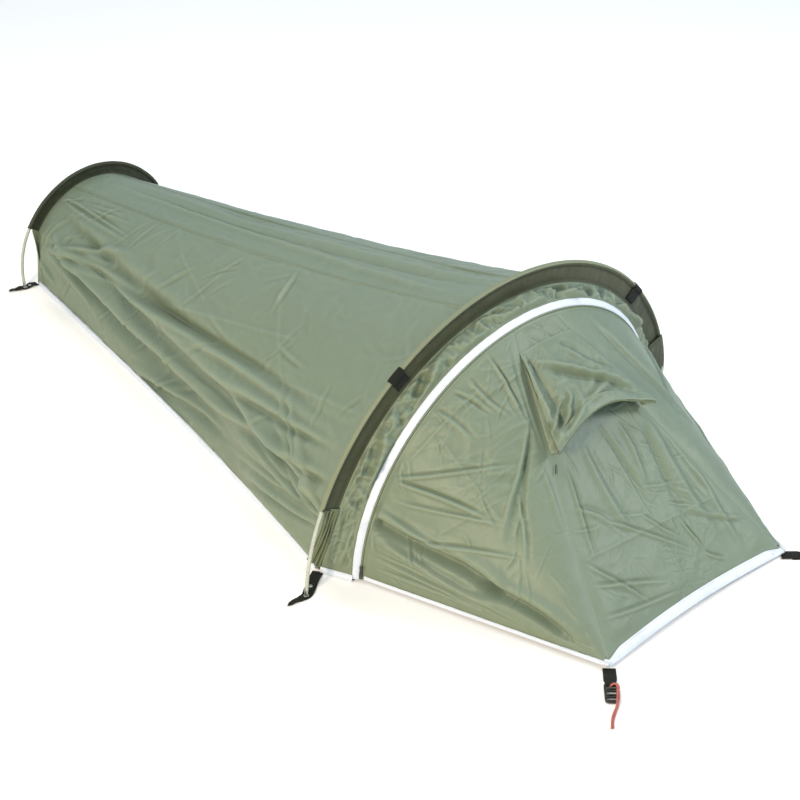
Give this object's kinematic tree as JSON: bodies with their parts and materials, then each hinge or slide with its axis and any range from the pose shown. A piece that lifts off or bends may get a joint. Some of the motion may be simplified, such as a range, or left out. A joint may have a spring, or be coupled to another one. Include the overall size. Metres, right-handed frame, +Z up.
{
  "type": "bivy tent",
  "caption": "One-person hooped bivy tent with a tapering cabin, pole sleeves, a zipped vestibule door with a vent hood, an inner net door and staked corner fittings.",
  "frame": {"origin": "on the ground under the main hoop, midway between its two pole tips, at the underside of the floor", "axes": "+Z up, +Y towards the foot end, the door faces -Y"},
  "size_m": [1.2992, 2.4332, 0.6005],
  "materials": {
    "sage_fabric": "coated woven nylon, soft sheen, creased",
    "olive_fabric": "dark olive woven sleeve fabric, matt",
    "ground_sheet": "coated floor fabric, matt",
    "white_binding": "white woven tape",
    "insect_net": "black knitted insect net",
    "black_webbing": "ribbed polypropylene webbing",
    "black_plastic": "moulded acetal",
    "zip_black": "nylon coil and coated slider",
    "red_cord": "braided cord",
    "shock_cord": "elastic core with woven cover",
    "pole_grey": "satin grey pole tube",
    "pole_metal": "bright turned metal"
  },
  "bodies": {
    "tent": {"body_trim_foot": "white_binding", "body_trim_left": "white_binding", "body_trim_right": "white_binding", "cabin_roof": "sage_fabric", "cabin_side_left": "sage_fabric", "cabin_side_right": "sage_fabric", "floor": "ground_sheet", "foot_panel": "sage_fabric", "foot_pole_insert_1": "pole_metal", "foot_pole_insert_2": "pole_metal", "foot_pole_section_1": "pole_grey", "foot_pole_section_2": "pole_grey", "foot_pole_section_3": "pole_grey", "foot_pole_tab_left": "black_webbing", "foot_pole_tab_right": "black_webbing", "foot_pole_tip_left": "pole_metal", "foot_pole_tip_right": "pole_metal", "foot_shock_cord": "shock_cord", "foot_sleeve": "olive_fabric", "front_strip": "sage_fabric", "main_pole_insert_1": "pole_metal", "main_pole_insert_2": "pole_metal", "main_pole_insert_3": "pole_metal", "main_pole_insert_4": "pole_metal", "main_pole_section_1": "pole_grey", "main_pole_section_2": "pole_grey", "main_pole_section_3": "pole_grey", "main_pole_section_4": "pole_grey", "main_pole_section_5": "pole_grey", "main_pole_tab_left": "black_webbing", "main_pole_tab_right": "black_webbing", "main_pole_tip_left": "pole_metal", "main_pole_tip_right": "pole_metal", "main_shock_cord": "shock_cord", "main_sleeve": "olive_fabric", "net_door_band": "sage_fabric", "sleeve_band_left": "black_webbing", "sleeve_band_right": "black_webbing", "zip_coil": "white_binding", "zip_tape": "white_binding"},
    "door_front": {"door_front": "sage_fabric", "door_hem_front": "white_binding", "vent_net": "insect_net"},
    "door_left": {"door_left": "sage_fabric", "door_hem_left": "white_binding"},
    "door_right": {"door_right": "sage_fabric", "door_hem_right": "white_binding"},
    "vent_hood": {"vent_hood": "sage_fabric", "vent_lip_batten": "olive_fabric"},
    "zip_slider": {"zip_slider": "zip_black"},
    "zip_pull": {"zip_pull": "zip_black"},
    "net_door": {"net_door": "insect_net"},
    "net_zip_slider": {"net_zip_slider": "zip_black"},
    "corner_strap_left": {"corner_strap_left": "black_webbing"},
    "corner_buckle_left": {"corner_buckle_left": "black_plastic"},
    "corner_cord_left": {"corner_cord_left": "red_cord"},
    "corner_strap_right": {"corner_strap_right": "black_webbing"},
    "corner_buckle_right": {"corner_buckle_right": "black_plastic"},
    "corner_cord_right": {"corner_cord_right": "red_cord"}
  },
  "joints": [
    {"name": "door_open", "type": "hinge", "parent": "tent", "child": "door_front", "pos_m": [0, -0.622, 0.01], "axis": [1, 0, 0], "range_deg": [0, 125]},
    {"name": "door_left_unfold", "type": "hinge", "parent": "door_front", "child": "door_left", "pos_m": [-0.297, -0.622, 0.01], "axis": [0.305, 0.6919, 0.6544], "range_deg": [0, 45]},
    {"name": "door_right_unfold", "type": "hinge", "parent": "door_front", "child": "door_right", "pos_m": [0.297, -0.622, 0.01], "axis": [0.305, -0.6919, -0.6544], "range_deg": [0, 45]},
    {"name": "vent_hood_tilt", "type": "hinge", "parent": "door_front", "child": "vent_hood", "pos_m": [0, -0.13648, 0.47921], "axis": [-1, 0, 0], "range_deg": [-6, 20], "stiffness_Nm_per_rad": 0.3},
    {"name": "zip_run", "type": "hinge", "parent": "tent", "child": "zip_slider", "pos_m": [0, -0.0375, 0.04276], "axis": [0, 0.9945, 0.1045], "range_deg": [0, 179]},
    {"name": "zip_pull_swing", "type": "hinge", "parent": "zip_slider", "child": "zip_pull", "pos_m": [-0.47723, -0.04834, 0.03408], "axis": [-0.6428, 0.7615, 0.0829], "range_deg": [0, 100], "stiffness_Nm_per_rad": 0.005},
    {"name": "net_door_drop", "type": "hinge", "parent": "tent", "child": "net_door", "pos_m": [0, -0.00749, 0.04276], "axis": [-1, 0, 0], "range_deg": [0, 88]},
    {"name": "net_zip_run", "type": "hinge", "parent": "tent", "child": "net_zip_slider", "pos_m": [0, -0.00749, 0.04276], "axis": [0, 0.9945, 0.1045], "range_deg": [0, 172]},
    {"name": "corner_strap_lift_left", "type": "hinge", "parent": "tent", "child": "corner_strap_left", "pos_m": [-0.30402, -0.62912, 0.003], "axis": [-0.7121, 0.7021, 0], "range_deg": [0, 100]},
    {"name": "corner_buckle_tilt_left", "type": "hinge", "parent": "corner_strap_left", "child": "corner_buckle_left", "pos_m": [-0.32614, -0.65155, 0.003], "axis": [-0.7121, 0.7021, 0], "range_deg": [0, 60]},
    {"name": "corner_cord_swing_left", "type": "hinge", "parent": "corner_buckle_left", "child": "corner_cord_left", "pos_m": [-0.37317, -0.69926, 0.003], "axis": [-0.7121, 0.7021, 0], "range_deg": [0, 95]},
    {"name": "corner_strap_lift_right", "type": "hinge", "parent": "tent", "child": "corner_strap_right", "pos_m": [0.30402, -0.62912, 0.003], "axis": [-0.7121, -0.7021, 0], "range_deg": [0, 100]},
    {"name": "corner_buckle_tilt_right", "type": "hinge", "parent": "corner_strap_right", "child": "corner_buckle_right", "pos_m": [0.32614, -0.65155, 0.003], "axis": [-0.7121, -0.7021, 0], "range_deg": [0, 60]},
    {"name": "corner_cord_swing_right", "type": "hinge", "parent": "corner_buckle_right", "child": "corner_cord_right", "pos_m": [0.37317, -0.69926, 0.003], "axis": [-0.7121, -0.7021, 0], "range_deg": [0, 95]}
  ],
  "couplings": [
    {"joint": "door_left_unfold", "follows": "door_open", "ratio": 0.36},
    {"joint": "door_right_unfold", "follows": "door_open", "ratio": 0.36}
  ]
}
